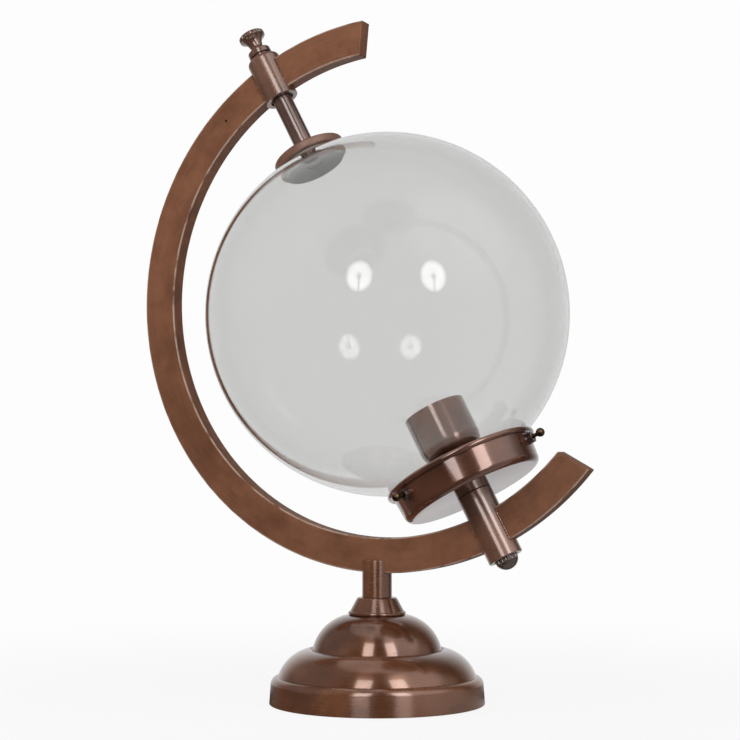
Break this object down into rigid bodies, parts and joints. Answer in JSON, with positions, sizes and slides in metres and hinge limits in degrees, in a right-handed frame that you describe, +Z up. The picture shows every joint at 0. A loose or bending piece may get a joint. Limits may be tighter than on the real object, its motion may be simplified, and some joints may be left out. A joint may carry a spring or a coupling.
{
  "type": "globe table lamp",
  "caption": "Table lamp with a clear glass globe on a tilted axis, carried by a bent flat-sided arm on a stepped round base, with a gallery, screw lamp holder and sliding top plate.",
  "frame": {"origin": "centre of the base's underside, on the table", "axes": "+Z up; the arm's ring lies in the XZ plane and opens towards +X; -Y is the front, from which the picture is taken a little to the right"},
  "size_m": [0.3404, 0.25, 0.4767],
  "materials": {
    "bronze_lacquer": "glossy lacquer over an antique copper-brown plating, patchy and satin along the arm",
    "dark_bronze": "darker knurled and turned antique bronze",
    "clear_glass": "clear polished glass with a slight grey cast",
    "green_felt": "matt felt, colour assumed",
    "black_rubber": "matt",
    "cast_weight": "rough",
    "zinc_steel": "zinc plated",
    "shell_brass": "bright rolled sheet",
    "porcelain": "glazed white",
    "nylon": "moulded, black",
    "lead_jacket": "brown jacket"
  },
  "bodies": {
    "stand": {"arm_bow": "bronze_lacquer", "arm_cap_bottom": "bronze_lacquer", "arm_cap_top": "bronze_lacquer", "arm_tip_bottom": "bronze_lacquer", "arm_tip_top": "bronze_lacquer", "ballast": "cast_weight", "base_felt": "green_felt", "base_rim": "bronze_lacquer", "centre_contact": "shell_brass", "cord_grommet": "black_rubber", "finial_insert": "zinc_steel", "flex_lead": "lead_jacket", "gallery": "bronze_lacquer", "gallery_bosses": "dark_bronze", "gallery_nut": "zinc_steel", "glass_globe": "clear_glass", "globe_gasket": "black_rubber", "guide_bush_bottom": "nylon", "guide_bush_top": "nylon", "holder_screws": "zinc_steel", "lower_dome": "bronze_lacquer", "lower_sleeve": "bronze_lacquer", "nipple": "zinc_steel", "rod_nut": "zinc_steel", "rod_washer": "zinc_steel", "screw_shell": "shell_brass", "sleeve_insert": "zinc_steel", "socket_cup": "bronze_lacquer", "socket_insulator": "porcelain", "stem_collar": "bronze_lacquer", "stem_insert": "zinc_steel", "stem_tube": "bronze_lacquer", "terminal_block": "nylon", "terminal_screws": "zinc_steel", "threaded_rod": "zinc_steel", "upper_dome": "bronze_lacquer", "upper_sleeve": "bronze_lacquer"},
    "plunger": {"plunger_rod": "bronze_lacquer", "top_plate": "bronze_lacquer", "plate_pad": "green_felt", "plate_screw": "zinc_steel"},
    "knob": {"top_knob": "bronze_lacquer"},
    "screw_1": {"thumb_screw_1": "dark_bronze"},
    "screw_2": {"thumb_screw_2": "dark_bronze"},
    "screw_3": {"thumb_screw_3": "dark_bronze"},
    "finial": {"finial": "dark_bronze"}
  },
  "joints": [
    {"name": "plunger_slide", "type": "slide", "parent": "stand", "child": "plunger", "axis": [-0.4664, 0, 0.8846], "range_m": [0, 0.044]},
    {"name": "knob_turn", "type": "hinge", "parent": "plunger", "child": "knob", "pos_m": [-0.09564, 0, 0.46208], "axis": [-0.4664, 0, 0.8846], "continuous": true},
    {"name": "screw_1_out", "type": "slide", "parent": "stand", "child": "screw_1", "axis": [0.8846, 0, 0.4664], "range_m": [0, 0.004]},
    {"name": "screw_2_out", "type": "slide", "parent": "stand", "child": "screw_2", "axis": [-0.4423, 0.866, -0.2332], "range_m": [0, 0.004]},
    {"name": "screw_3_out", "type": "slide", "parent": "stand", "child": "screw_3", "axis": [-0.4423, -0.866, -0.2332], "range_m": [0, 0.004]},
    {"name": "finial_turn", "type": "hinge", "parent": "stand", "child": "finial", "pos_m": [0.09371, 0, 0.10294], "axis": [-0.4664, 0, 0.8846], "continuous": true}
  ]
}
